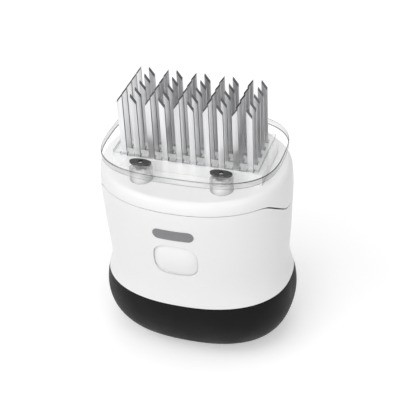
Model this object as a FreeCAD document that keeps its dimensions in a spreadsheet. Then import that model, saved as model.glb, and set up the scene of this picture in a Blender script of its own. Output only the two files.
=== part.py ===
import FreeCAD, Part
import Sketcher
import math
import os
import re

# Blade tenderizer standing on its soft grip, blades up. Origin at the middle of the grip's rest
# face, +Z up, X across the wide side, the button on the front at -Y. All lengths in millimetres.

os.makedirs("parts", exist_ok=True)
doc = FreeCAD.newDocument("tenderizer")
sheet = doc.addObject("Spreadsheet::Sheet", "sizes")

# Outside of the body at each level: height, half width, half depth, exponent of the oval
levels = {
    "rest": (0.0, 33.0, 19.5, 2.4),
    "heel": (1.4, 38.6, 25.0, 2.4),
    "bowl": (5.5, 44.6, 31.0, 2.4),
    "belly": (11.5, 49.0, 35.2, 2.4),
    "palm": (20.5, 52.0, 38.2, 2.4),
    "swell": (29.5, 52.3, 39.2, 2.35),
    "edge": (36.5, 51.0, 39.1, 2.3),
    "waist": (44.0, 49.1, 38.9, 2.25),
    "flank": (57.0, 49.1, 39.6, 2.2),
    "chest": (70.0, 49.9, 40.8, 2.2),
    "collar": (83.0, 50.5, 41.9, 2.15),
    "neck": (94.0, 50.8, 42.5, 2.15),
    "shoulder": (100.0, 50.5, 42.2, 2.15),
    "brow": (103.3, 50.0, 41.2, 2.15),
    "crown": (105.2, 48.3, 38.8, 2.15),
}

# Seam between handle and head, seen from the end: distance from the middle, height, gap above it
seamLine = {
    "seamEnd": (0.0, 84.5, 0.6),
    "seamDip": (7.5, 86.2, 0.7),
    "seamRise": (14.0, 90.3, 0.9),
    "seamBend": (18.5, 93.4, 0.9),
    "seamTurn": (22.1, 95.8, 0.8),
    "seamKnee": (25.4, 97.0, 0.5),
    "seamSide": (30.0, 97.5, 0.35),
    "seamFace": (36.9, 98.0, 0.35),
    "seamFront": (44.0, 98.8, 0.35),
}

sizes = {
    # shells and grip
    "shellWall": 2.4, "crownWall": 2.8, "gripThick": 2.8, "gripSeat": 0.2, "edgeLine": 0.3,
    "lipThick": 1.6, "lipGap": 0.5, "lipDepth": 4.0, "lipHalfWidth": 12.0, "lipEndHalf": 9.0,
    "lipSink": 1.1, "rootSink": 0.4,
    # blades
    "pairPitch": 15.0, "pairGap": 7.33, "rowPitch": 7.07, "bladeWidth": 2.9, "bladeThick": 1.2,
    "bladeTip": 147.5, "tipDrop": 4.07, "bevelDepth": 0.45, "bevelRun": 1.5,
    "combFoot": 88.0, "combBar": 8.0, "combHalfX": 35.3, "combClear": 0.1,
    "carrierHalfX": 40.0, "carrierHalfY": 16.2, "carrierTop": 111.0, "carrierGap": 0.15,
    "earHalfX": 45.2, "earHalfY": 11.5, "earFoot": 91.0, "earThick": 3.0,
    "earScrewX": 42.6, "earScrewY": 7.5, "earBossRadius": 2.5,
    "clampThick": 2.5, "clampScrewX": 37.8, "clampScrewY": 9.0,
    "combPinX": 22.5, "combPinRadius": 1.25, "combPinHeight": 92.0,
    "smallScrewRadius": 0.95, "smallHeadRadius": 1.9, "smallHeadHeight": 1.5, "smallScrewLength": 8.0,
    # guard
    "guardTravel": 34.0, "plateFoot": 111.3, "plateThick": 3.8, "plateHalfX": 47.5, "plateHalfY": 35.0,
    "plateExponent": 2.95, "plateEase": 0.6, "fieldHalfX": 38.6, "fieldHalfY": 17.6, "fieldDepth": 2.2,
    "slotClear": 0.5, "postX": 21.3, "postY": 24.2, "postRadius": 6.0, "postBore": 4.7, "postFoot": 41.0,
    "boreEnd": 112.3, "postClear": 0.05, "guideWall": 1.15,
    "yokeFoot": 40.0, "yokeThick": 7.0, "yokeHalfX": 45.0, "yokeHalfY": 34.6, "yokeExponent": 2.3,
    "yokeWindowX": 31.0, "yokeWindowY": 15.2, "yokeWell": 11.0, "yokeWellY": 26.3,
    "yokeNotch": 4.0, "buttonRelief": 15.4, "buttonReliefY": 31.9, "stopGap": 0.3,
    "yokePinRadius": 1.0, "yokePinHeight": 44.0, "yokePinStart": 29.1, "yokePinEnd": 31.2,
    "pinRunIn": 1.0, "pinRunOut": 3.0,
    # springs and guide pins
    "pinRadius": 2.5, "pinSeat": 0.02, "pinTop": 109.0, "pinFoot": 33.0,
    "wireRadius": 0.45, "coilRadius": 3.75, "coilTurns": 20.0, "springFoot": 39.8,
    "cupFoot": 100.0, "cupOuter": 4.6, "cupInner": 2.9, "cupGap": 0.1,
    "discThick": 1.0, "discHalfX": 5.75, "discHalfY": 2.7, "discHole": 1.3, "discOval": 2.0, "discGap": 0.1,
    # chassis
    "chassisFoot": 33.0, "chassisThick": 3.0, "chassisHalfX": 44.4, "chassisHalfY": 32.2,
    "chassisBoss": 5.5, "chassisBossTop": 39.7, "columnX": 33.0, "columnY": 10.0, "columnRadius": 4.0,
    "screwRadius": 1.5, "screwHead": 2.8, "screwHeadHeight": 2.0, "screwLength": 12.0,
    # button, latch and badge
    "buttonHeight": 67.65, "buttonHalfX": 11.8, "buttonHalfZ": 9.9, "buttonOval": 2.9,
    "outReach": 2.0, "holeDepth": 10.0,
    "buttonGap": 0.25, "buttonTravel": 2.5, "flangeFront": 36.0, "flangeThick": 1.4,
    "flangeLap": 1.2, "stemRadius": 2.5, "stemEnd": 26.1,
    "leafThick": 0.6, "leafFront": 25.8, "leafHalfX": 8.0, "leafTop": 73.0, "leafFootEnd": 15.0,
    "hookReach": 3.2, "hookGap": 0.3, "latchScrewY": 18.4,
    "badgeHeight": 85.0, "badgeHalfX": 10.9, "badgeHalfZ": 3.0, "badgeProud": 0.2,
    "badgeDepth": 0.8, "badgeGap": 0.1, "badgeSeat": 0.05,
}
for level, (height, halfX, halfY, exponent) in levels.items():
    sizes.update({level + "Z": height, level + "X": halfX, level + "Y": halfY, level + "Oval": exponent})
for spot, (away, height, gap) in seamLine.items():
    sizes.update({spot + "Away": away, spot + "Z": height, spot + "Gap": gap})

for row, (name, value) in enumerate(sizes.items(), start=1):
    sheet.set("A%d" % row, name)
    sheet.set("B%d" % row, str(value))
    sheet.setAlias("B%d" % row, name)
workings = doc.addObject("Spreadsheet::Sheet", "workings")
doc.recompute()


def linked(text):
    """The formula with each sheet name written as a reference to the sheet."""
    return re.sub(r"[A-Za-z]\w*", lambda word: "sizes." + word[0] if word[0] in sizes else word[0], str(text))


def size(text):
    """Value of a formula written in the sheet's names, worked out on a side sheet."""
    if text in sizes:
        return float(getattr(sheet, text))
    workings.set("A1", "=" + linked(text))
    doc.recompute([workings])
    value = workings.get("A1")
    return float(getattr(value, "Value", value))


def bind(thing, **formulas):
    for prop, text in formulas.items():
        thing.setExpression(prop.replace("_", "."), linked(text))
    return thing


def place(thing, x="0", y="0", z="0"):
    for axis, text in (("x", x), ("y", y), ("z", z)):
        thing.setExpression("Placement.Base." + axis, linked(text))
    return thing


def box(label, lengthX, lengthY, lengthZ, x, y, z):
    """A box between corners given as formulas: its sizes, then its lowest corner."""
    solid = doc.addObject("Part::Box", label)
    bind(solid, Length=lengthX, Width=lengthY, Height=lengthZ)
    return place(solid, x, y, z)


def rod(label, radius, length, x, y, z, axis="Z"):
    solid = doc.addObject("Part::Cylinder", label)
    bind(solid, Radius=radius, Height=length)
    if axis == "Y":
        solid.Placement.Rotation = FreeCAD.Rotation(FreeCAD.Vector(1, 0, 0), -90)
    return place(solid, x, y, z)


def fuse(label, solids):
    joined = doc.addObject("Part::MultiFuse", label)
    joined.Shapes = solids
    return joined


def cut(label, base, tool):
    result = doc.addObject("Part::Cut", label)
    result.Base, result.Tool = base, tool
    return result


def common(label, solids):
    result = doc.addObject("Part::MultiCommon", label)
    result.Shapes = solids
    return result


def group(label, solids):
    """Separate solids that share one node."""
    result = doc.addObject("Part::Compound", label)
    result.Links = solids
    return result


def shaped(label, shape):
    thing = doc.addObject("Part::Feature", label)
    thing.Shape = shape
    return thing


def ovalWire(halfX, halfY, exponent, z, steps=48):
    """Closed smooth curve |x/halfX|^n + |y/halfY|^n = 1 at height z."""
    points = []
    for step in range(steps):
        turn = 2 * math.pi * step / steps
        c, s = math.cos(turn), math.sin(turn)
        x = math.copysign(abs(c) ** (2 / exponent), c) * halfX
        y = math.copysign(abs(s) ** (2 / exponent), s) * halfY
        points.append(FreeCAD.Vector(x, y, z))
    curve = Part.BSplineCurve()
    curve.interpolate(points, PeriodicFlag=True)
    return Part.Wire(curve.toShape())


def ovalPrism(label, halfX, halfY, exponent, foot, height, ease=None):
    """Upright slab with an oval outline, its rims rounded where an ease is given."""
    face = Part.Face(ovalWire(size(halfX), size(halfY), size(exponent), size(foot)))
    solid = face.extrude(FreeCAD.Vector(0, 0, size(height)))
    if ease:
        solid = solid.makeFillet(size(ease), [edge for edge in solid.Edges if edge.BoundBox.ZLength < 0.01])
    return shaped(label, solid)


def bodyForm(label, inset="0", low="restZ", high="crownZ"):
    """The body's outside drawn in by an inset, between two heights."""
    step = size(inset)
    wires = [ovalWire(size(n + "X") - step, size(n + "Y") - step, size(n + "Oval"), size(n + "Z")) for n in levels]
    solid = Part.makeLoft(wires, True, False)
    reach = 2 * size("palmX")
    bottom, top = size(low), size(high)
    slab = Part.makeBox(2 * reach, 2 * reach, top - bottom, FreeCAD.Vector(-reach, -reach, bottom))
    return shaped(label, solid.common(slab))


def fourfold(label, make, x, y):
    """The same piece at the four places (+-x, +-y)."""
    return [make("%s%d" % (label, k + 1), sx + x, sy + y)
            for k, (sx, sy) in enumerate((("-", "-"), ("", "-"), ("", ""), ("-", "")))]


def seamBlock(label, raised=0):
    """Everything below the seam, whose line seen from the end is carried along X."""
    line = [(size(n + "Away"), size(n + "Z") + raised * size(n + "Gap")) for n in seamLine]
    line = [(-y, z) for y, z in reversed(line[1:])] + line
    points = [FreeCAD.Vector(-2 * size("palmX"), y, z) for y, z in line]
    curve = Part.BSplineCurve()
    curve.interpolate(points)
    foot = [FreeCAD.Vector(points[0].x, end.y, -size("palmX")) for end in (points[-1], points[0])]
    sides = Part.makePolygon([points[-1]] + foot + [points[0]])
    face = Part.Face(Part.Wire([curve.toShape()] + sides.Edges))
    return shaped(label, face.extrude(FreeCAD.Vector(4 * size("palmX"), 0, 0)))


def ovalPlug(label, halfX, halfZ, exponent, z, front, depth, steps=48):
    """Slab in the XZ plane with an oval outline, pushed back from y=-front by depth."""
    flat = ovalWire(size(halfX), size(halfZ), size(exponent), 0, steps)
    flat.rotate(FreeCAD.Vector(0, 0, 0), FreeCAD.Vector(1, 0, 0), 90)
    flat.translate(FreeCAD.Vector(0, -size(front), size(z)))
    return shaped(label, Part.Face(flat).extrude(FreeCAD.Vector(0, size(depth), 0)))


def pillSlab(label, halfX, halfZ, z, front, depth):
    """Straight slab with half-round ends in the XZ plane, pushed back from y=-front by depth."""
    straight = "(%s)-(%s)" % (halfX, halfZ)
    middle = box(label + "Middle", "2*(%s)" % straight, depth, "2*(%s)" % halfZ, "-(%s)" % straight,
                 "-(%s)" % front, "%s-(%s)" % (z, halfZ))
    ends = [rod(label + side, halfZ, depth, sign + "(%s)" % straight, "-(%s)" % front, z, axis="Y")
            for side, sign in (("Left", "-"), ("Right", ""))]
    return fuse(label, [middle] + ends)


nodes = []


def node(thing, name):
    thing.Label = name
    nodes.append(thing)
    return thing


# Blade combs: one stamped strip for each row, ten tines with slanted ground tips in facing pairs
def polygonSketch(body, plane, label, corners):
    """Closed outline in one of the body's own planes, each corner tied to the sheet."""
    sketch = body.newObject("Sketcher::SketchObject", label)
    origin = [face for face in body.Origin.OriginFeatures if face.Role == plane][0]
    sketch.AttachmentSupport = [(origin, "")]
    sketch.MapMode = "FlatFace"
    spots = [FreeCAD.Vector(size(x), size(y), 0) for x, y in corners]
    for k, spot in enumerate(spots):
        sketch.addGeometry(Part.LineSegment(spot, spots[(k + 1) % len(spots)]), False)
    for k, (x, y) in enumerate(corners):
        sketch.addConstraint(Sketcher.Constraint("Coincident", k, 2, (k + 1) % len(spots), 1))
        for kind, text, value in (("DistanceX", x, spots[k].x), ("DistanceY", y, spots[k].y)):
            index = sketch.addConstraint(Sketcher.Constraint(kind, -1, 1, k, 1, value))
            sketch.setExpression("Constraints[%d]" % index, linked(text))
    return sketch


def pad(body, sketch, label, length, midplane=True):
    feature = body.newObject("PartDesign::Pad", label)
    feature.Profile = sketch
    feature.Length = size(length)
    feature.setExpression("Length", linked(length))
    feature.Midplane = midplane
    return feature


def bladeComb(row):
    tag = "comb%d" % (row + 3)
    body = doc.addObject("PartDesign::Body", tag)
    bar = polygonSketch(body, "XZ_Plane", tag + "BarSketch", [
        ("-combHalfX", "combFoot"), ("combHalfX", "combFoot"),
        ("combHalfX", "combFoot+combBar"), ("-combHalfX", "combFoot+combBar")])
    pad(body, bar, tag + "Bar", "bladeThick")
    left = "-2*pairPitch-pairGap/2"
    right = "-2*pairPitch+pairGap/2"
    foot = "combFoot+combBar/2"
    tines = []
    for side, x, low, high in (("Left", left, "-", "+"), ("Right", right, "+", "-")):
        sketch = polygonSketch(body, "XZ_Plane", tag + side + "Sketch", [
            (x + low + "bladeWidth/2", foot), (x + high + "bladeWidth/2", foot),
            (x + high + "bladeWidth/2", "bladeTip"), (x + low + "bladeWidth/2", "bladeTip-tipDrop")])
        tines.append(pad(body, sketch, tag + side, "bladeThick"))
    doc.recompute()
    rowOfTines = body.newObject("PartDesign::LinearPattern", tag + "Pattern")
    rowOfTines.Originals = tines
    axis = [line for line in body.Origin.OriginFeatures if line.Role == "X_Axis"][0]
    rowOfTines.Direction = (axis, [""])
    rowOfTines.Length = size("4*pairPitch")
    rowOfTines.setExpression("Length", linked("4*pairPitch"))
    rowOfTines.Occurrences = 5
    body.Tip = rowOfTines
    doc.recompute()
    return place(body, "0", "%d*rowPitch" % row, "0")


def groundTips(row):
    """Wedges that grind the front of each slanted tip to an edge."""
    wedges = []
    slope = FreeCAD.Vector(size("bladeWidth"), 0, size("tipDrop"))
    front = row * size("rowPitch") - size("bladeThick") / 2
    depth, run = size("bevelDepth"), size("bevelRun")
    for pair in range(-2, 3):
        for side in (-1, 1):
            x = pair * size("pairPitch") + side * size("pairGap") / 2
            low = FreeCAD.Vector(x + side * size("bladeWidth") / 2, front, size("bladeTip-tipDrop"))
            along = FreeCAD.Vector(-side * slope.x, 0, slope.z)
            start, end = low - along * 0.2, low + along * 1.2
            section = [start + FreeCAD.Vector(0, -0.1, -run), start + FreeCAD.Vector(0, depth, 0.2),
                       start + FreeCAD.Vector(0, -0.1, 0.2)]
            face = Part.Face(Part.makePolygon(section + section[:1]))
            wedges.append(face.extrude(end - start))
    return Part.makeCompound(wedges)


rows = range(-2, 3)
for row in rows:
    comb = bladeComb(row)
    holes = fuse("combHoles%d" % (row + 3), [
        rod("combHole%d%s" % (row + 3, side), "combPinRadius+pinSeat", "bladeThick*4", sign + "combPinX",
            "%d*rowPitch-2*bladeThick" % row, "combPinHeight", axis="Y")
        for side, sign in (("Left", "-"), ("Right", ""))])
    drilled = cut("combDrilled%d" % (row + 3), comb, holes)
    grind = shaped("combGrind%d" % (row + 3), groundTips(row))
    node(cut("combGround%d" % (row + 3), drilled, grind), "blade_comb_%d" % (row + 3))

# Soft grip: a cup over the foot of the handle
gripOutside = bodyForm("gripOutside", "0", "restZ", "edgeZ-edgeLine/2")
gripInside = bodyForm("gripInside", "gripThick", "gripThick", "crownZ")
node(cut("softGrip", gripOutside, gripInside), "soft_grip")

# Handle shell: white wall above the edge line, a narrower core inside the grip
handleOutside = bodyForm("handleOutside", "0", "edgeZ+edgeLine/2", "crownZ")
handleCore = bodyForm("handleCore", "gripThick+gripSeat", "gripThick+gripSeat", "edgeZ+edgeLine+gripThick")
handleBelow = common("handleBelow", [handleOutside, seamBlock("handleSeam")])
cavityLow = bodyForm("cavityLow", "gripThick+gripSeat+shellWall", "gripThick+gripSeat+shellWall", "crownZ")
cavityHigh = bodyForm("cavityHigh", "shellWall", "edgeZ+shellWall", "crownZ")
handleHull = cut("handleHull", fuse("handleMass", [handleBelow, handleCore]),
                 fuse("handleCavity", [cavityLow, cavityHigh]))
columnFoot = "gripThick+gripSeat+shellWall-rootSink"
columns = fourfold("column", lambda label, x, y: rod(
    label, "columnRadius", "chassisFoot-(%s)" % columnFoot, x, y, columnFoot), "columnX", "columnY")
handleSolid = fuse("handleSolid", [handleHull] + columns)
columnHoles = fourfold("columnHole", lambda label, x, y: rod(
    label, "screwRadius+pinSeat", "screwLength", x, y, "chassisFoot-screwLength+chassisThick"),
    "columnX", "columnY")
buttonHole = ovalPlug("buttonHole", "buttonHalfX+buttonGap", "buttonHalfZ+buttonGap", "buttonOval",
                      "buttonHeight", "collarY+outReach", "holeDepth")
pocket = common("pocket", [
    cut("pocketSkin", bodyForm("pocketOuter", "-1"), bodyForm("pocketFloor", "badgeDepth+badgeSeat")),
    pillSlab("pocketShape", "badgeHalfX+badgeGap", "badgeHalfZ+badgeGap", "badgeHeight",
             "collarY+outReach", "holeDepth")])
node(cut("handleShell", handleSolid, fuse("handleCuts", columnHoles + [buttonHole, pocket])), "handle_shell")

# Head shell: the cap over the handle, with four guide tubes and the blades' window
headOutside = bodyForm("headOutside", "0", "seamEndZ-lipDepth", "crownZ")
headAbove = cut("headAbove", headOutside, seamBlock("headSeam", 1))
headCavity = bodyForm("headCavity", "shellWall", "seamEndZ-2*lipDepth", "crownZ-crownWall")
headHull = cut("headHull", headAbove, headCavity)
guides = fourfold("guide", lambda label, x, y: rod(
    label, "postRadius+postClear+guideWall", "crownZ-crownWall/2-(yokeFoot+yokeThick+guardTravel+stopGap)",
    x, y, "yokeFoot+yokeThick+guardTravel+stopGap"), "postX", "postY")
earBosses = fourfold("earBoss", lambda label, x, y: rod(
    label, "earBossRadius", "crownZ-crownWall/2-earFoot-earThick", x, y, "earFoot+earThick"),
    "earScrewX", "earScrewY")
lipFoot, lipRise = "seamEndZ-lipDepth", "crownZ-lipSink-seamEndZ+lipDepth"
lipInset = "-shellWall-lipGap"
lipRing = cut("lipRing", ovalPrism("lipOuter", "neckX" + lipInset, "neckY" + lipInset, "neckOval", lipFoot, lipRise),
              ovalPrism("lipInner", "neckX-lipThick" + lipInset, "neckY-lipThick" + lipInset, "neckOval",
                        "restZ", "crownZ"))
lipCross = fuse("lipCross", [
    box("lipAlongX", "4*palmX", "2*lipEndHalf", "crownZ", "-2*palmX", "-lipEndHalf", "restZ"),
    box("lipAlongY", "2*lipHalfWidth", "4*palmX", "crownZ", "-lipHalfWidth", "-2*palmX", "seamFaceZ-lipDepth")])
headGuided = fuse("headGuided", [headHull] + guides)
headLipped = fuse("headLipped", [headGuided, common("headLip", [lipRing, lipCross])])
headSolid = fuse("headSolid", [headLipped] + earBosses)
postHoles = fourfold("postHole", lambda label, x, y: rod(
    label, "postRadius+postClear", "crownZ", x, y, "yokeFoot"), "postX", "postY")
earHoles = fourfold("earHole", lambda label, x, y: rod(
    label, "smallScrewRadius+pinSeat", "smallScrewLength", x, y, "earFoot"), "earScrewX", "earScrewY")
window = box("window", "2*(carrierHalfX+carrierGap)", "2*(carrierHalfY+carrierGap)", "crownWall*3",
             "-carrierHalfX-carrierGap", "-carrierHalfY-carrierGap", "crownZ-crownWall*2")
node(cut("headShell", headSolid, fuse("headCuts", postHoles + earHoles + [window])), "head_shell")

# Blade carrier: a block with a long slot for each comb and an ear at each end
carrierBlock = box("carrierBlock", "2*carrierHalfX", "2*carrierHalfY", "carrierTop-combFoot",
                   "-carrierHalfX", "-carrierHalfY", "combFoot")
carrierEars = box("carrierEars", "2*earHalfX", "2*earHalfY", "earThick", "-earHalfX", "-earHalfY", "earFoot")
combSlots = [box("combSlot%d" % (row + 3), "2*(combHalfX+combClear)", "bladeThick+2*combClear", "carrierTop",
                 "-combHalfX-combClear", "%d*rowPitch-bladeThick/2-combClear" % row, "combFoot/2")
             for row in rows]
combPinHoles = [rod("combPinHole%d" % (k + 1), "combPinRadius+pinSeat", "4*carrierHalfY", sign + "combPinX",
                    "-2*carrierHalfY", "combPinHeight", axis="Y") for k, sign in enumerate(("-", ""))]
earScrewHoles = fourfold("earScrewHole", lambda label, x, y: rod(
    label, "smallScrewRadius+postClear", "earThick*3", x, y, "earFoot-earThick"), "earScrewX", "earScrewY")
clampHoles = fourfold("clampHole", lambda label, x, y: rod(
    label, "smallScrewRadius+pinSeat", "smallScrewLength", x, y, "combFoot-clampThick"),
    "clampScrewX", "clampScrewY")
carrierCuts = fuse("carrierCuts", combSlots + combPinHoles + earScrewHoles + clampHoles)
node(cut("bladeCarrier", fuse("carrierSolid", [carrierBlock, carrierEars]), carrierCuts), "blade_carrier")

clampPlate = box("clampPlate", "2*carrierHalfX", "2*carrierHalfY", "clampThick",
                 "-carrierHalfX", "-carrierHalfY", "combFoot-clampThick")
clampPlateHoles = fourfold("clampPlateHole", lambda label, x, y: rod(
    label, "smallScrewRadius+postClear", "clampThick*3", x, y, "combFoot-2*clampThick"),
    "clampScrewX", "clampScrewY")
node(cut("carrierClamp", clampPlate, fuse("clampCuts", clampPlateHoles)), "carrier_clamp")

node(group("combPins", [rod("combPin%d" % (k + 1), "combPinRadius", "2*carrierHalfY", sign + "combPinX",
                            "-carrierHalfY", "combPinHeight", axis="Y")
                        for k, sign in enumerate(("-", ""))]), "comb_pins")


def screwUp(label, x, y, seat):
    """Small screw whose head lies under a seat and whose shank points up."""
    head = rod(label + "Head", "smallHeadRadius", "smallHeadHeight", x, y, seat + "-smallHeadHeight")
    shank = rod(label + "Shank", "smallScrewRadius", "smallScrewLength-pinSeat", x, y, seat)
    return fuse(label, [head, shank])


node(group("carrierScrews",
           fourfold("clampScrew", lambda label, x, y: screwUp(label, x, y, "combFoot-clampThick"),
                    "clampScrewX", "clampScrewY")
           + fourfold("earScrew", lambda label, x, y: screwUp(label, x, y, "earFoot"),
                      "earScrewX", "earScrewY")), "carrier_screws")


# Guard plate: clear plate with a sunk field, a slot for each blade and four hollow posts
plateBlank = ovalPrism("plateBlank", "plateHalfX", "plateHalfY", "plateExponent", "plateFoot", "plateThick",
                       "plateEase")
posts = fourfold("post", lambda label, x, y: rod(
    label, "postRadius", "plateFoot+plateThick/2-postFoot", x, y, "postFoot"), "postX", "postY")
bores = fourfold("bore", lambda label, x, y: rod(
    label, "postBore", "boreEnd-postFoot+yokeThick", x, y, "postFoot-yokeThick"), "postX", "postY")
discPockets = fourfold("discPocket", lambda label, x, y: place(ovalPrism(
    label, "discHalfX+discGap", "discHalfY+discGap", "discOval", "plateFoot+plateThick-discThick",
    "2*discThick"), x, y), "postX", "postY")
field = box("field", "2*fieldHalfX", "2*fieldHalfY", "2*fieldDepth",
            "-fieldHalfX", "-fieldHalfY", "plateFoot+plateThick-fieldDepth")
slots = [box("slot%d_%d_%d" % (row + 3, pair + 3, side), "bladeWidth+2*slotClear", "bladeThick+2*slotClear",
             "4*plateThick", "%d*pairPitch+%d*pairGap/2-bladeWidth/2-slotClear" % (pair, side),
             "%d*rowPitch-bladeThick/2-slotClear" % row, "plateFoot-plateThick")
         for row in rows for pair in range(-2, 3) for side in (-1, 1)]
pinRun = "yokePinEnd-yokePinStart+pinRunIn+pinRunOut"
pinPlaces = (("-postX", "-yokePinEnd-pinRunOut"), ("postX", "-yokePinEnd-pinRunOut"),
             ("postX", "yokePinStart-pinRunIn"), ("-postX", "yokePinStart-pinRunIn"))
yokePinHoles = [rod("yokePinHole%d" % (k + 1), "yokePinRadius+pinSeat", pinRun, x, y, "yokePinHeight", axis="Y")
                for k, (x, y) in enumerate(pinPlaces)]
plateCuts = fuse("plateCuts", bores + discPockets + [field] + slots + yokePinHoles)
node(cut("guardPlate", fuse("plateSolid", [plateBlank] + posts), plateCuts), "guard_plate")

# Yoke: the frame that ties the posts' feet together, open in front for the button's stem
yokeBlank = ovalPrism("yokeBlank", "yokeHalfX", "yokeHalfY", "yokeExponent", "yokeFoot", "yokeThick")
yokeCuts = fourfold("yokeSocket", lambda label, x, y: rod(
    label, "postRadius+postClear", "yokeThick*2", x, y, "postFoot"), "postX", "postY")
yokeCuts += fourfold("yokeBore", lambda label, x, y: rod(
    label, "postBore", "yokeThick*2", x, y, "yokeFoot-yokeThick"), "postX", "postY")
yokeCuts.append(box("yokeWindow", "2*yokeWindowX", "2*yokeWindowY", "yokeThick*3",
                    "-yokeWindowX", "-yokeWindowY", "yokeFoot-yokeThick"))
yokeCuts.append(box("yokeWellFront", "2*yokeWell", "yokeWellY", "yokeThick*3",
                    "-yokeWell", "-yokeWellY", "yokeFoot-yokeThick"))
yokeCuts.append(box("yokeStemWay", "2*yokeNotch", "yokeHalfY*2", "yokeThick*3",
                    "-yokeNotch", "-yokeHalfY*2-stopGap", "yokeFoot-yokeThick"))
yokeCuts.append(box("yokeRelief", "2*buttonRelief", "yokeHalfY", "yokeThick*3",
                    "-buttonRelief", "-yokeHalfY-buttonReliefY", "yokeFoot-yokeThick"))
yokeCuts += [rod("yokeCross%d" % (k + 1), "yokePinRadius+pinSeat", pinRun, x, y, "yokePinHeight", axis="Y")
             for k, (x, y) in enumerate(pinPlaces)]
node(cut("guardYoke", yokeBlank, fuse("yokeCutters", yokeCuts)), "guard_yoke")
node(group("yokePins", [rod("yokePin%d" % (k + 1), "yokePinRadius", "yokePinEnd-yokePinStart", x, y,
                            "yokePinHeight", axis="Y")
                        for k, (x, y) in enumerate((("-postX", "-yokePinEnd"), ("postX", "-yokePinEnd"),
                                                    ("postX", "yokePinStart"), ("-postX", "yokePinStart")))]),
     "yoke_pins")

# Chassis: the floor inside the handle that carries the four guide pins
chassisPlate = ovalPrism("chassisPlate", "chassisHalfX", "chassisHalfY", "edgeOval", "chassisFoot",
                         "chassisThick")
chassisBosses = fourfold("chassisBoss", lambda label, x, y: rod(
    label, "chassisBoss", "chassisBossTop-chassisFoot", x, y, "chassisFoot"), "postX", "postY")
chassisHoles = fourfold("chassisPinHole", lambda label, x, y: rod(
    label, "pinRadius+pinSeat", "chassisBossTop", x, y, "chassisFoot-chassisThick"), "postX", "postY")
chassisHoles += fourfold("chassisScrewHole", lambda label, x, y: rod(
    label, "screwRadius+postClear", "chassisThick*3", x, y, "chassisFoot-chassisThick"),
    "columnX", "columnY")
chassisHoles.append(rod("latchHole", "screwRadius+pinSeat", "chassisThick*3", "0", "-latchScrewY",
                        "chassisFoot-chassisThick"))
node(cut("chassisSolid", fuse("chassisMass", [chassisPlate] + chassisBosses),
         fuse("chassisCuts", chassisHoles)), "chassis")


def screwDown(label, x, y, seat, length):
    """Screw whose head stands on a seat and whose shank points down."""
    head = rod(label + "Head", "screwHead", "screwHeadHeight", x, y, seat)
    shank = rod(label + "Shank", "screwRadius", length, x, y, "%s-(%s)" % (seat, length))
    return fuse(label, [head, shank])


node(group("chassisScrews", fourfold("chassisScrew", lambda label, x, y: screwDown(
    label, x, y, "chassisFoot+chassisThick", "screwLength-pinSeat"), "columnX", "columnY")), "chassis_screws")

# Guide pins, the cups that the springs push on and the dark oval discs let into the plate above them
corners = (("-", "-"), ("", "-"), ("", ""), ("-", ""))
for k, (sx, sy) in enumerate(corners, start=1):
    node(rod("guidePin%d" % k, "pinRadius", "pinTop-pinFoot", sx + "postX", sy + "postY", "pinFoot"),
         "guide_pin_%d" % k)
cups, discs = [], []
for k, (sx, sy) in enumerate(corners, start=1):
    x, y = sx + "postX", sy + "postY"
    cupBlank = rod("cupBlank%d" % k, "cupOuter", "boreEnd-cupFoot", x, y, "cupFoot")
    cupHole = rod("cupHole%d" % k, "cupInner", "boreEnd", x, y, "cupFoot/2")
    cups.append(cut("cup%d" % k, cupBlank, cupHole))
    oval = ovalPrism("disc%dBlank" % k, "discHalfX", "discHalfY", "discOval",
                     "plateFoot+plateThick-discThick", "discThick")
    place(oval, x, y)
    eye = rod("discEye%d" % k, "discHole", "discThick*3", x, y, "plateFoot+plateThick-2*discThick")
    discs.append(cut("disc%d" % k, oval, eye))
node(group("springCups", cups), "spring_cups")
node(group("postDiscs", discs), "post_discs")


def coil(label, x, y):
    """Open wound spring: each quarter turn is two arcs, swept by a round wire."""
    radius, wire, turns = size("coilRadius"), size("wireRadius"), size("coilTurns")
    foot = size("springFoot") + wire
    rise = size("cupFoot-cupGap") - wire - foot
    quarters = int(round(4 * turns))
    edges = []

    def spot(turn):
        return FreeCAD.Vector(x + radius * math.cos(turn), y + radius * math.sin(turn),
                              foot + rise * turn / (2 * math.pi * turns))

    for quarter in range(quarters):
        start, end = quarter * math.pi / 2, (quarter + 1) * math.pi / 2
        edges.append(Part.Arc(spot(start), spot((start + end) / 2), spot(end)).toShape())
    spine = Part.Wire(edges)
    lean = FreeCAD.Vector(0, radius, rise / (2 * math.pi * turns))
    ring = Part.Wire(Part.makeCircle(wire, spot(0), lean))
    tube = Part.BRepOffsetAPI.MakePipeShell(spine)
    tube.add(ring)
    tube.setTransitionMode(0)
    tube.build()
    tube.makeSolid()
    gap = rise / turns - 2 * wire
    print(label, "least gap between turns %.2f mm" % gap)
    return shaped(label, tube.shape())


for k, (sx, sy) in enumerate(corners, start=1):
    node(coil("returnSpring%d" % k, size(sx + "postX"), size(sy + "postY")), "return_spring_%d" % k)

# Button: a plug that follows the body's face, with a retaining flange and a stem
plug = common("buttonPlug", [
    bodyForm("buttonFace"),
    ovalPlug("buttonSlab", "buttonHalfX", "buttonHalfZ", "buttonOval", "buttonHeight", "collarY+outReach",
             "collarY+outReach-flangeFront+flangeThick/2")])
flange = ovalPlug("buttonFlange", "buttonHalfX+flangeLap", "buttonHalfZ+flangeLap", "buttonOval",
                  "buttonHeight", "flangeFront", "flangeThick")
stem = rod("buttonStem", "stemRadius", "flangeFront-stemEnd-flangeThick/2", "0",
           "-flangeFront+flangeThick/2", "buttonHeight", axis="Y")
node(fuse("buttonSolid", [plug, flange, stem]), "button")

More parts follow.
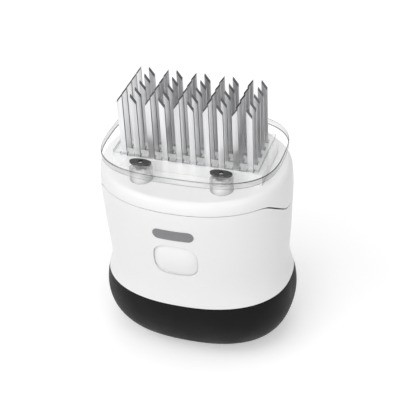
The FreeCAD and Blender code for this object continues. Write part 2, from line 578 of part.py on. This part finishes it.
# Latch leaf: spring steel strip, screwed to the chassis, whose hook holds the yoke down
leaf = fuse("leafSolid", [
    box("leafFoot", "2*leafHalfX", "leafFront-leafFootEnd", "leafThick", "-leafHalfX", "-leafFront",
        "chassisFoot+chassisThick"),
    box("leafStrip", "2*leafHalfX", "leafThick", "leafTop-chassisFoot-chassisThick", "-leafHalfX",
        "-leafFront", "chassisFoot+chassisThick"),
    box("leafHook", "2*leafHalfX", "hookReach+leafThick", "leafThick", "-leafHalfX",
        "-leafFront-hookReach", "yokeFoot+yokeThick+hookGap")])
leafHole = rod("leafHole", "screwRadius+postClear", "leafThick*4", "0", "-latchScrewY",
               "chassisFoot+chassisThick-leafThick")
node(cut("latchLeaf", leaf, leafHole), "latch_leaf")
node(screwDown("latchScrew", "0", "-latchScrewY", "chassisFoot+chassisThick+leafThick",
               "chassisThick+leafThick"), "latch_screw")

# Badge: a plain pill let into the front of the handle
badgeSkin = cut("badgeSkin", bodyForm("badgeOuter", "-badgeProud"), bodyForm("badgeFloor", "badgeDepth"))
badgeShape = pillSlab("badgeShape", "badgeHalfX", "badgeHalfZ", "badgeHeight", "collarY+outReach",
                      "holeDepth")
node(common("badgeSolid", [badgeSkin, badgeShape]), "badge")

doc.recompute()
faults = [thing.Label for thing in doc.Objects if {"Invalid", "Error"} & set(thing.State)]
for thing in nodes:
    shape = thing.Shape
    if shape.isNull() or not shape.isValid() or not shape.Solids:
        faults.append(thing.Label + " shape")
if faults:
    raise RuntimeError("failed objects: " + ", ".join(faults))
for thing in nodes:
    thing.Shape.exportStep("parts/%s.step" % thing.Label)
    bounds = thing.Shape.BoundBox
    print("%-18s solids %d volume %.1f z %.2f to %.2f" % (
        thing.Label, len(thing.Shape.Solids), thing.Shape.Volume, bounds.ZMin, bounds.ZMax))
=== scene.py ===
import math
import bmesh
import bpy
import numpy as np
from mathutils import Matrix, Vector


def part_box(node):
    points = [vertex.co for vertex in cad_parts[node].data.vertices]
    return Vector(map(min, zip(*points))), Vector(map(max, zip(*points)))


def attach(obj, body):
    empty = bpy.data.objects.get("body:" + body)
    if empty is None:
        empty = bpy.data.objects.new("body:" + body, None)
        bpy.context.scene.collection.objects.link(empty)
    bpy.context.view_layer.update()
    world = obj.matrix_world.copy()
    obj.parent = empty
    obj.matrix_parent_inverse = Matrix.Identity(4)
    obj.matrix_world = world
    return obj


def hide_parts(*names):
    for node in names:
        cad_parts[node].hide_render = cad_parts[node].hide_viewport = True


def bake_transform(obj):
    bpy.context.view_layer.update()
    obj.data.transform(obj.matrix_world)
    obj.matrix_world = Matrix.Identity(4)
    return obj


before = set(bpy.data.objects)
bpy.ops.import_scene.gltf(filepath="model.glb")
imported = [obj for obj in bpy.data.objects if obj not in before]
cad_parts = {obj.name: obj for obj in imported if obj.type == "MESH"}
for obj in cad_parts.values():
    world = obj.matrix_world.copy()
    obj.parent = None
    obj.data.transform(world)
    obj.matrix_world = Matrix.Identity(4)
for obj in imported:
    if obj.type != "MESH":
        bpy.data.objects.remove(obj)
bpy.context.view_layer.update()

mm = 0.001
scene = bpy.context.scene


# node helpers for the materials
def newMaterial(name):
    mat = bpy.data.materials.new(name)
    mat.use_nodes = True
    tree = mat.node_tree
    tree.nodes.clear()
    out = tree.nodes.new("ShaderNodeOutputMaterial")
    shader = tree.nodes.new("ShaderNodeBsdfPrincipled")
    tree.links.new(shader.outputs["BSDF"], out.inputs["Surface"])
    return mat, tree, shader


def noise(tree, scale, detail=3.0, stretch=(1, 1, 1)):
    # object coordinates, stretched per axis, feeding a noise texture
    coords = tree.nodes.new("ShaderNodeTexCoord")
    mapping = tree.nodes.new("ShaderNodeMapping")
    mapping.inputs["Scale"].default_value = stretch
    tex = tree.nodes.new("ShaderNodeTexNoise")
    tex.inputs["Scale"].default_value = scale
    tex.inputs["Detail"].default_value = detail
    tree.links.new(coords.outputs["Object"], mapping.inputs["Vector"])
    tree.links.new(mapping.outputs["Vector"], tex.inputs["Vector"])
    return tex.outputs["Fac"]


def spread(tree, value, low, high, fromLow=0.3, fromHigh=0.7):
    # value between fromLow and fromHigh, carried over to low and high and held there beyond
    node = tree.nodes.new("ShaderNodeMapRange")
    node.inputs["From Min"].default_value = fromLow
    node.inputs["From Max"].default_value = fromHigh
    node.inputs["To Min"].default_value = low
    node.inputs["To Max"].default_value = high
    tree.links.new(value, node.inputs["Value"])
    return node.outputs["Result"]


def bump(tree, shader, height, strength, distance):
    node = tree.nodes.new("ShaderNodeBump")
    node.inputs["Strength"].default_value = strength
    node.inputs["Distance"].default_value = distance
    tree.links.new(height, node.inputs["Height"])
    tree.links.new(node.outputs["Normal"], shader.inputs["Normal"])


def blend(tree, factor, a, b):
    # from colour a to colour b; each is a plain colour or another node's output
    node = tree.nodes.new("ShaderNodeMix")
    node.data_type = "RGBA"
    tree.links.new(factor, node.inputs["Factor"])
    for socket, colour in ((node.inputs["A"], a), (node.inputs["B"], b)):
        if isinstance(colour, tuple):
            socket.default_value = (*colour, 1)
        else:
            tree.links.new(colour, socket)
    return node.outputs["Result"]


def mathNode(tree, kind, a, b=None):
    # a and b are numbers or other nodes' outputs
    node = tree.nodes.new("ShaderNodeMath")
    node.operation = kind
    for socket, value in zip(node.inputs, (a, b)):
        if value is None:
            continue
        if isinstance(value, (int, float)):
            socket.default_value = value
        else:
            tree.links.new(value, socket)
    return node.outputs[0]


def split(tree, vector):
    node = tree.nodes.new("ShaderNodeSeparateXYZ")
    tree.links.new(vector, node.inputs["Vector"])
    return node.outputs


def mixShaders(tree, factor, a, b):
    node = tree.nodes.new("ShaderNodeMixShader")
    tree.links.new(factor, node.inputs["Fac"])
    tree.links.new(a, node.inputs[1])
    tree.links.new(b, node.inputs[2])
    return node.outputs["Shader"]


shell = {
    "dark": (0.835, 0.835, 0.835), "light": (0.85, 0.85, 0.85), "mottle": 260,
    "roughScale": 60, "rough": (0.285, 0.325),
    "peel": 700, "peelStrength": 0.08, "peelDepth": 0.00002, "detail": 2,
}


def whitePlastic():
    mat, tree, shader = newMaterial("whitePlastic")
    mottle = noise(tree, shell["mottle"], shell["detail"])
    colour = blend(tree, mottle, shell["dark"], shell["light"])
    tree.links.new(colour, shader.inputs["Base Color"])
    rough = spread(tree, noise(tree, shell["roughScale"]), *shell["rough"], 0, 1)
    tree.links.new(rough, shader.inputs["Roughness"])
    peel = noise(tree, shell["peel"], shell["detail"])
    bump(tree, shader, peel, shell["peelStrength"], shell["peelDepth"])
    return mat


grip = {
    "dark": (0.0035, 0.0035, 0.004), "light": (0.006, 0.006, 0.0065), "patches": 35,
    "roughScale": 90, "rough": (0.42, 0.55), "specular": 0.12,
    "grain": 2600, "grainDetail": 4, "grainStrength": 0.35, "grainDepth": 0.00005,
}


def softRubber():
    mat, tree, shader = newMaterial("softRubber")
    patches = spread(tree, noise(tree, grip["patches"]), 0, 1)
    colour = blend(tree, patches, grip["dark"], grip["light"])
    tree.links.new(colour, shader.inputs["Base Color"])
    rough = spread(tree, noise(tree, grip["roughScale"]), *grip["rough"])
    tree.links.new(rough, shader.inputs["Roughness"])
    shader.inputs["Specular IOR Level"].default_value = grip["specular"]
    grain = noise(tree, grip["grain"], grip["grainDetail"])
    bump(tree, shader, grain, grip["grainStrength"], grip["grainDepth"])
    return mat


# Tints of the clear plastic per wall that a ray goes through. The darker tints of rims, side
# walls and ends are painted shade, standing in for the light that real plastic bends there. A
# face's slope is the size of its normal's z: walls stay below wallEnd, rims are between
# edgeStart and edgeEnd, level faces are above faceStart. Ends and side rims are where the
# normal's x grows from the first number to the second. The posts' milk fades out over
# milkFade, in metres above the ground.
clear = {
    "face": (0.988, 0.99, 0.99), "edgeFront": (0.46, 0.465, 0.465),
    "edgeSide": (0.13, 0.135, 0.135), "wall": (0.98, 0.985, 0.985),
    "wallDark": (0.74, 0.745, 0.745), "wallSide": (0.66, 0.665, 0.665),
    "wallEnd": 0.1, "edgeStart": 0.28, "edgeEnd": 0.8, "faceStart": 0.97,
    "sideWalls": (0.2, 0.95), "sideEdges": (0.08, 0.45),
    "streakScale": 90, "streakDetail": 3, "streakStretch": (0.6, 0.6, 5), "streaks": (0.45, 0.65),
    "shadow": (0.99, 0.99, 0.99), "ior": 1.49, "roughScale": 40, "rough": (0.03, 0.09),
    "milk": 0.45, "milkTone": (0.88, 0.88, 0.88), "milkFade": (0.1105, 0.1113),
}


def tintWithPaintedShade(tree, normal):
    # level faces nearly clear, rounded rims dark, upright walls streaked; rims and walls are
    # darker towards the plate's two ends. The dark rims, walls and ends are painted shade.
    parts = split(tree, normal)
    level = mathNode(tree, "ABSOLUTE", parts["Z"])
    sideways = mathNode(tree, "ABSOLUTE", parts["X"])
    grain = noise(tree, clear["streakScale"], clear["streakDetail"], clear["streakStretch"])
    streaks = spread(tree, grain, 0, 1, *clear["streaks"])
    front = blend(tree, streaks, clear["wall"], clear["wallDark"])
    atSides = spread(tree, sideways, 0, 1, *clear["sideWalls"])
    wall = blend(tree, atSides, front, clear["wallSide"])
    atRims = spread(tree, sideways, 0, 1, *clear["sideEdges"])
    edge = blend(tree, atRims, clear["edgeFront"], clear["edgeSide"])
    sloped = spread(tree, level, 0, 1, clear["wallEnd"], clear["edgeStart"])
    flat = spread(tree, level, 0, 1, clear["edgeEnd"], clear["faceStart"])
    return blend(tree, flat, blend(tree, sloped, wall, edge), clear["face"])


def clearPlastic():
    # see-through plastic that doesn't bend light; its outer faces mirror more at a slant, the
    # posts below the plate are milky, and shadows and soft light pass almost freely. What shows
    # through is tinted with painted shade on the rims, side walls and ends.
    mat, tree, shader = newMaterial("clearPlastic")
    tree.nodes.remove(shader)
    coords = tree.nodes.new("ShaderNodeTexCoord")
    through = tree.nodes.new("ShaderNodeBsdfTransparent")
    tree.links.new(tintWithPaintedShade(tree, coords.outputs["Normal"]), through.inputs["Color"])
    mirror = tree.nodes.new("ShaderNodeBsdfGlossy")
    mirror.inputs["Color"].default_value = (1, 1, 1, 1)
    rough = spread(tree, noise(tree, clear["roughScale"]), *clear["rough"])
    tree.links.new(rough, mirror.inputs["Roughness"])
    film = tree.nodes.new("ShaderNodeFresnel")
    film.inputs["IOR"].default_value = clear["ior"]
    facing = tree.nodes.new("ShaderNodeNewGeometry")
    outer = mathNode(tree, "SUBTRACT", 1.0, facing.outputs["Backfacing"])
    share = mathNode(tree, "MULTIPLY", film.outputs["Fac"], outer)
    glossed = mixShaders(tree, share, through.outputs["BSDF"], mirror.outputs["BSDF"])
    haze = tree.nodes.new("ShaderNodeBsdfDiffuse")
    haze.inputs["Color"].default_value = (*clear["milkTone"], 1)
    height = split(tree, coords.outputs["Object"])["Z"]
    milk = spread(tree, height, clear["milk"], 0, *clear["milkFade"])
    milky = mixShaders(tree, milk, glossed, haze.outputs["BSDF"])
    lit = tree.nodes.new("ShaderNodeBsdfTransparent")
    lit.inputs["Color"].default_value = (*clear["shadow"], 1)
    path = tree.nodes.new("ShaderNodeLightPath")
    soft = mathNode(tree, "MAXIMUM", path.outputs["Is Shadow Ray"], path.outputs["Is Diffuse Ray"])
    mixed = mixShaders(tree, soft, milky, lit.outputs["BSDF"])
    tree.links.new(mixed, tree.nodes["Material Output"].inputs["Surface"])
    return mat


# side and tip say from where to where the normal's x and z take a face over to the darker
# colours of its sides and slanted tips, which are painted shade
blade = {
    "face": (0.52, 0.52, 0.53), "faceLight": (0.84, 0.84, 0.85), "edge": (0.40, 0.40, 0.405),
    "grind": (0.10, 0.10, 0.105), "side": (0.35, 0.6), "tip": (0.1, 0.22), "rough": (0.28, 0.40),
    "brush": 220, "brushDetail": 4, "brushStretch": (1, 1, 0.04),
    "brushStrength": 0.15, "brushDepth": 0.00003,
}


def bladeSteel():
    # rolled faces bright; painted shade darkens the sides and slanted tips, by the face's own
    # direction
    mat, tree, shader = newMaterial("bladeSteel")
    shader.inputs["Metallic"].default_value = 1.0
    coords = tree.nodes.new("ShaderNodeTexCoord")
    parts = split(tree, coords.outputs["Normal"])
    # painted shade: faces turned sideways or upwards get the darker side and tip colours
    side = spread(tree, mathNode(tree, "ABSOLUTE", parts["X"]), 0, 1, *blade["side"])
    tip = spread(tree, parts["Z"], 0, 1, *blade["tip"])
    streak = noise(tree, blade["brush"], blade["brushDetail"], blade["brushStretch"])
    face = blend(tree, spread(tree, streak, 0, 1), blade["face"], blade["faceLight"])
    colour = blend(tree, tip, blend(tree, side, face, blade["edge"]), blade["grind"])
    tree.links.new(colour, shader.inputs["Base Color"])
    tree.links.new(spread(tree, streak, *blade["rough"]), shader.inputs["Roughness"])
    bump(tree, shader, streak, blade["brushStrength"], blade["brushDepth"])
    return mat


turned = {
    "grain": 300, "grainDetail": 3, "grainStretch": (1, 1, 6), "shade": 0.8,
    "roughScale": 150, "roughRange": 0.12,
    "ridge": 900, "ridgeDetail": 2, "ridgeStretch": (1, 1, 5),
    "ridgeStrength": 0.1, "ridgeDepth": 0.00002,
}


def turnedSteel(name, colour, rough):
    mat, tree, shader = newMaterial(name)
    shader.inputs["Metallic"].default_value = 1.0
    grain = noise(tree, turned["grain"], turned["grainDetail"], turned["grainStretch"])
    darker = tuple(turned["shade"] * c for c in colour)
    tree.links.new(blend(tree, spread(tree, grain, 0, 1), darker, colour),
                   shader.inputs["Base Color"])
    roughness = spread(tree, noise(tree, turned["roughScale"]), rough, rough + turned["roughRange"])
    tree.links.new(roughness, shader.inputs["Roughness"])
    ridge = noise(tree, turned["ridge"], turned["ridgeDetail"], turned["ridgeStretch"])
    bump(tree, shader, ridge, turned["ridgeStrength"], turned["ridgeDepth"])
    return mat


moulded = {
    "patches": 60, "shade": 0.88, "roughScale": 120, "roughRange": 0.1,
    "grain": 1400, "grainDetail": 3, "grainStrength": 0.2, "grainDepth": 0.00003,
}


def mouldedPlastic(name, colour, rough):
    mat, tree, shader = newMaterial(name)
    patches = spread(tree, noise(tree, moulded["patches"]), 0, 1)
    darker = tuple(moulded["shade"] * c for c in colour)
    tree.links.new(blend(tree, patches, darker, colour), shader.inputs["Base Color"])
    roughness = spread(tree, noise(tree, moulded["roughScale"]), rough,
                       rough + moulded["roughRange"])
    tree.links.new(roughness, shader.inputs["Roughness"])
    grain = noise(tree, moulded["grain"], moulded["grainDetail"])
    bump(tree, shader, grain, moulded["grainStrength"], moulded["grainDepth"])
    return mat


# colour and roughness of each plain plastic and steel
plastics = {
    "badgeGrey": ((0.235, 0.235, 0.245), 0.35),
    "discBlack": ((0.012, 0.012, 0.013), 0.4),
    "cupPlastic": ((0.80, 0.80, 0.80), 0.4),
    "innerPlastic": ((0.70, 0.70, 0.69), 0.4),
}
steels = {
    "rodSteel": ((0.62, 0.62, 0.63), 0.28),
    "wireSteel": ((0.5, 0.5, 0.51), 0.28),
    "screwSteel": ((0.45, 0.45, 0.46), 0.3),
}

print("materials")
made = {name: mouldedPlastic(name, *look) for name, look in plastics.items()}
made.update({name: turnedSteel(name, *look) for name, look in steels.items()})
white = whitePlastic()
steelForBlades = bladeSteel()
finishes = {
    "soft_grip": softRubber(), "handle_shell": white, "head_shell": white, "button": white,
    "blade_carrier": white, "guard_plate": clearPlastic(), "badge": made["badgeGrey"],
    "post_discs": made["discBlack"], "spring_cups": made["cupPlastic"],
}
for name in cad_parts:
    if name in finishes:
        continue
    if name.startswith("blade_comb"):
        finishes[name] = steelForBlades
    elif name.startswith("guide_pin") or name in ("comb_pins", "yoke_pins"):
        finishes[name] = made["rodSteel"]
    elif name.startswith("return_spring") or name == "latch_leaf":
        finishes[name] = made["wireSteel"]
    elif name.endswith("screws") or name == "latch_screw":
        finishes[name] = made["screwSteel"]
    else:
        finishes[name] = made["innerPlastic"]


def finish(piece, material):
    piece.data.materials.clear()
    piece.data.materials.append(material)


for name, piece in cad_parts.items():
    finish(piece, finishes[name])


def newPiece(name, mesh):
    piece = bpy.data.objects.new(name, mesh)
    scene.collection.objects.link(piece)
    return piece


def gridMesh(name, points, closed=False, weld=0.0):
    # points is rows x columns x 3; neighbouring points become four-sided faces, closed joins
    # the last column to the first, and points nearer than weld, as at a pole, become one
    rows, columns = points.shape[:2]
    r = np.arange(rows - 1)[:, None] * columns
    c = np.arange(columns if closed else columns - 1)[None, :]
    c2 = (c + 1) % columns
    faces = np.stack([r + c, r + c2, r + columns + c2, r + columns + c], -1)
    mesh = bpy.data.meshes.new(name)
    mesh.from_pydata(points.reshape(-1, 3).tolist(), [], faces.reshape(-1, 4).tolist())
    if weld:
        cage = bmesh.new()
        cage.from_mesh(mesh)
        bmesh.ops.remove_doubles(cage, verts=cage.verts, dist=weld)
        bmesh.ops.recalc_face_normals(cage, faces=cage.faces)
        cage.to_mesh(mesh)
        cage.free()
    mesh.polygons.foreach_set("use_smooth", np.ones(len(mesh.polygons), bool))
    mesh.update()
    return newPiece(name, mesh)


weldDistance = 1e-7
spring = {"count": 4, "wire": 0.45, "turns": 20, "sides": 10, "steps": 36}


def springTube(node):
    # helix of constant radius about Z, a circle of the wire's radius carried along it and
    # drawn in to a point at both ends
    low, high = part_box(node)
    centre = (np.array(low) + np.array(high)) / 2
    wire = spring["wire"] * mm
    radius = (high[0] - low[0]) / 2 - wire
    fullTurn = 2 * np.pi * spring["turns"]
    turn = np.linspace(0, fullTurn, spring["turns"] * spring["steps"] + 1)
    turn = np.concatenate([[0], turn, turn[-1:]])
    drawn = np.ones_like(turn)
    drawn[[0, -1]] = 0
    rise = (high[2] - low[2] - 2 * wire) * turn / turn[-1]
    spine = np.stack([radius * np.cos(turn), radius * np.sin(turn), rise], -1)
    spine += (centre[0], centre[1], low[2] + wire)
    outward = np.stack([np.cos(turn), np.sin(turn), 0 * turn], -1)
    pitch = (high[2] - low[2]) / fullTurn
    along = np.stack([-radius * np.sin(turn), radius * np.cos(turn), pitch + 0 * turn], -1)
    along /= np.linalg.norm(along, axis=1)[:, None]
    upward = np.cross(outward, along)
    ring = np.linspace(0, 2 * np.pi, spring["sides"], endpoint=False)[None, :, None]
    offsets = outward[:, None] * np.cos(ring) + upward[:, None] * np.sin(ring)
    points = spine[:, None] + offsets * wire * drawn[:, None, None]
    return gridMesh(node.replace("return_", "") + "_coil", points, closed=True, weld=weldDistance)


print("springs")
for number in range(1, spring["count"] + 1):
    node = "return_spring_%d" % number
    coil = springTube(node)
    finish(coil, made["wireSteel"])
    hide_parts(node)
    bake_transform(coil)

# sizes in mm; corner is the oval's exponent in front, frontOf tells the face from what is behind
button = {
    "dome": 0.6, "domePower": 3, "edgeDrop": 0.5, "dropPower": 12, "corner": 2.9, "grow": 0.14,
    "backs": -36.0, "frontOf": -38.0, "flange": 1.4, "lap": 1.2, "stem": 2.5, "stemCorner": 2,
    "rings": 36, "turns": 128, "sharp": 50,
}


def buttonCap():
    # Rings round the button's middle, each |x/halfX|^n + |z/halfZ|^n = 1. In front they follow
    # the body's own face, y = a + b x^2 + c x^4 + d z + e z^2, swollen by dome*(1 - t^3) and
    # drawn back by edgeDrop*t^12 towards the rim; behind it come the wall, flange and stem.
    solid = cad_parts["button"].data
    found = np.empty(3 * len(solid.vertices))
    solid.vertices.foreach_get("co", found)
    found = found.reshape(-1, 3) / mm
    face = found[found[:, 1] < button["frontOf"]]
    low, high = face.min(0), face.max(0)
    midZ = (high[2] + low[2]) / 2
    halfX = (high[0] - low[0]) / 2 + button["grow"]
    halfZ = (high[2] - low[2]) / 2 + button["grow"]

    def terms(x, z):
        return np.stack([np.ones_like(x), x ** 2, x ** 4, z, z ** 2], -1)

    curve = np.linalg.lstsq(terms(face[:, 0], face[:, 2] - midZ), face[:, 1], rcond=None)[0]
    t = np.sin(np.linspace(0, np.pi / 2, button["rings"]))
    angle = np.linspace(0, 2 * np.pi, button["turns"], endpoint=False)

    def oval(x, z, n):
        power = 2 / np.asarray(n)[:, None]
        c, s = np.cos(angle)[None], np.sin(angle)[None]
        return (np.sign(c) * np.abs(c) ** power * np.asarray(x)[:, None],
                np.sign(s) * np.abs(s) ** power * np.asarray(z)[:, None])

    x, z = oval(halfX * t, halfZ * t, np.full_like(t, button["corner"]))
    swell = (button["edgeDrop"] * t ** button["dropPower"]
             - button["dome"] * (1 - t ** button["domePower"]))
    front = np.stack([x, terms(x, z) @ curve + swell[:, None], z + midZ], -1)
    wide, tall, stem = halfX + button["lap"], halfZ + button["lap"], button["stem"]
    back, rear = button["backs"], button["backs"] + button["flange"]
    stemEnd = found[:, 1].max()
    xs = [halfX, wide, wide, stem, stem, 0]
    zs = [halfZ, tall, tall, stem, stem, 0]
    ys = np.array([back, back, rear, rear, stemEnd, stemEnd])
    x, z = oval(xs, zs, [button["corner"]] * 3 + [button["stemCorner"]] * 3)
    behind = np.stack([x, ys[:, None] + 0 * x, z + midZ], -1)
    points = np.concatenate([front, behind]) * mm
    piece = gridMesh("button_cap", points, closed=True, weld=weldDistance)
    piece.data.set_sharp_from_angle(angle=math.radians(button["sharp"]))
    return piece


print("button")
cap = buttonCap()
finish(cap, white)
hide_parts("button")
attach(cap, "button")

leaf = {"slices": 24, "stemBelow": 3.0}


def bendingLeaf():
    # the latch leaf's own skin, cut into level slices
    low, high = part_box("latch_leaf")
    cage = bmesh.new()
    cage.from_mesh(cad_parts["latch_leaf"].data)
    for height in np.linspace(low[2], high[2], leaf["slices"] + 1)[1:-1]:
        parts = list(cage.verts) + list(cage.edges) + list(cage.faces)
        bmesh.ops.bisect_plane(cage, geom=parts, plane_co=(0, 0, height), plane_no=(0, 0, 1))
    mesh = bpy.data.meshes.new("bent_leaf")
    cage.to_mesh(mesh)
    cage.free()
    return newPiece("bent_leaf", mesh)


print("latch")
bent = bendingLeaf()
finish(bent, made["wireSteel"])
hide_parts("latch_leaf")
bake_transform(bent)

# sizes in metres; the glow grows from glow to farGlow over the distances in fade
floor = {
    "half": 40.0, "tone": (0.80, 0.80, 0.80), "rough": 0.9, "specular": 0.1,
    "glow": 0.36, "farGlow": 1.0, "fade": (0.5, 1.6),
}


def seenDirectly(tree):
    # 1 for what the camera, a reflection or a look through clear plastic meets
    rays = tree.nodes.new("ShaderNodeLightPath").outputs
    either = mathNode(tree, "MAXIMUM", rays["Is Camera Ray"], rays["Is Transmission Ray"])
    return mathNode(tree, "MAXIMUM", either, rays["Is Glossy Ray"])


def makeFloor():
    half = floor["half"]
    near, far = [(-half, -half, 0), (half, -half, 0)], [(-half, half, 0), (half, half, 0)]
    piece = gridMesh("floor", np.array([near, far], float))
    mat, tree, shader = newMaterial("floorPaper")
    shader.inputs["Base Color"].default_value = (*floor["tone"], 1)
    shader.inputs["Roughness"].default_value = floor["rough"]
    shader.inputs["Specular IOR Level"].default_value = floor["specular"]
    shader.inputs["Emission Color"].default_value = (1, 1, 1, 1)
    # the far floor glows up to the white of the world behind it
    coords = tree.nodes.new("ShaderNodeTexCoord")
    reach = tree.nodes.new("ShaderNodeVectorMath")
    reach.operation = "LENGTH"
    tree.links.new(coords.outputs["Object"], reach.inputs[0])
    glow = spread(tree, reach.outputs["Value"], floor["glow"], floor["farGlow"], *floor["fade"])
    shown = mathNode(tree, "MULTIPLY", seenDirectly(tree), glow)
    tree.links.new(shown, shader.inputs["Emission Strength"])
    finish(piece, mat)


worldLight = 0.43


def makeWorld():
    # white to the camera and in reflections, worldLight as light
    world = bpy.data.worlds.new("studio")
    scene.world = world
    world.use_nodes = True
    tree = world.node_tree
    background = tree.nodes["Background"]
    background.inputs["Color"].default_value = (1, 1, 1, 1)
    extra = mathNode(tree, "MULTIPLY", seenDirectly(tree), 1 - worldLight)
    strength = mathNode(tree, "ADD", extra, worldLight)
    tree.links.new(strength, background.inputs["Strength"])


# square lamps, in metres and watts, all turned to lampTarget
lampSize = 0.8
lampTarget = (0, 0, 0.07)
lamps = {
    "side": {"at": (-0.85, -0.6, 1.0), "power": 4.1},
    "front": {"at": (-0.3, -1.0, 1.0), "power": 2.6},
    "top": {"at": (0.1, -0.3, 1.4), "power": 3.3},
    "right": {"at": (0.9, -0.9, 0.7), "power": 3.3},
    "back": {"at": (-0.2, 0.9, 1.0), "power": 1.6},
    "low": {"at": (0.0, -1.3, 0.5), "power": 2.4},
}


def makeLamp(name, at, power):
    data = bpy.data.lights.new(name, "AREA")
    data.shape, data.size, data.energy = "SQUARE", lampSize, power
    lamp = bpy.data.objects.new(name, data)
    aim = Vector(lampTarget) - Vector(at)
    lamp.matrix_world = Matrix.Translation(at) @ aim.to_track_quat("-Z", "Y").to_matrix().to_4x4()
    scene.collection.objects.link(lamp)


# angles in degrees, at, sensor and lens in mm, clip in metres
view = {
    "azimuth": 19.267, "elevation": 35.257, "roll": -3.095, "at": (173.18, -492.45, 447.19),
    "lens": 108, "sensor": 36, "clip": (0.01, 50),
}


def makeCamera():
    azimuth, elevation, roll = (math.radians(view[k]) for k in ("azimuth", "elevation", "roll"))
    back = Vector((math.sin(azimuth) * math.cos(elevation),
                   -math.cos(azimuth) * math.cos(elevation), math.sin(elevation)))
    level = Vector((math.cos(azimuth), math.sin(azimuth), 0))
    upright = back.cross(level)
    right = math.cos(roll) * level + math.sin(roll) * upright
    up = back.cross(right)
    data = bpy.data.cameras.new("camera")
    data.sensor_width, data.lens = view["sensor"], view["lens"]
    data.clip_start, data.clip_end = view["clip"]
    camera = bpy.data.objects.new("camera", data)
    turn = Matrix((right, up, back)).transposed().to_4x4()
    camera.matrix_world = Matrix.Translation(Vector(view["at"]) * mm) @ turn
    scene.collection.objects.link(camera)
    scene.camera = camera


print("studio")
makeFloor()
makeWorld()
for name, lamp in lamps.items():
    makeLamp(name, **lamp)
makeCamera()
scene.view_settings.view_transform = "Standard"
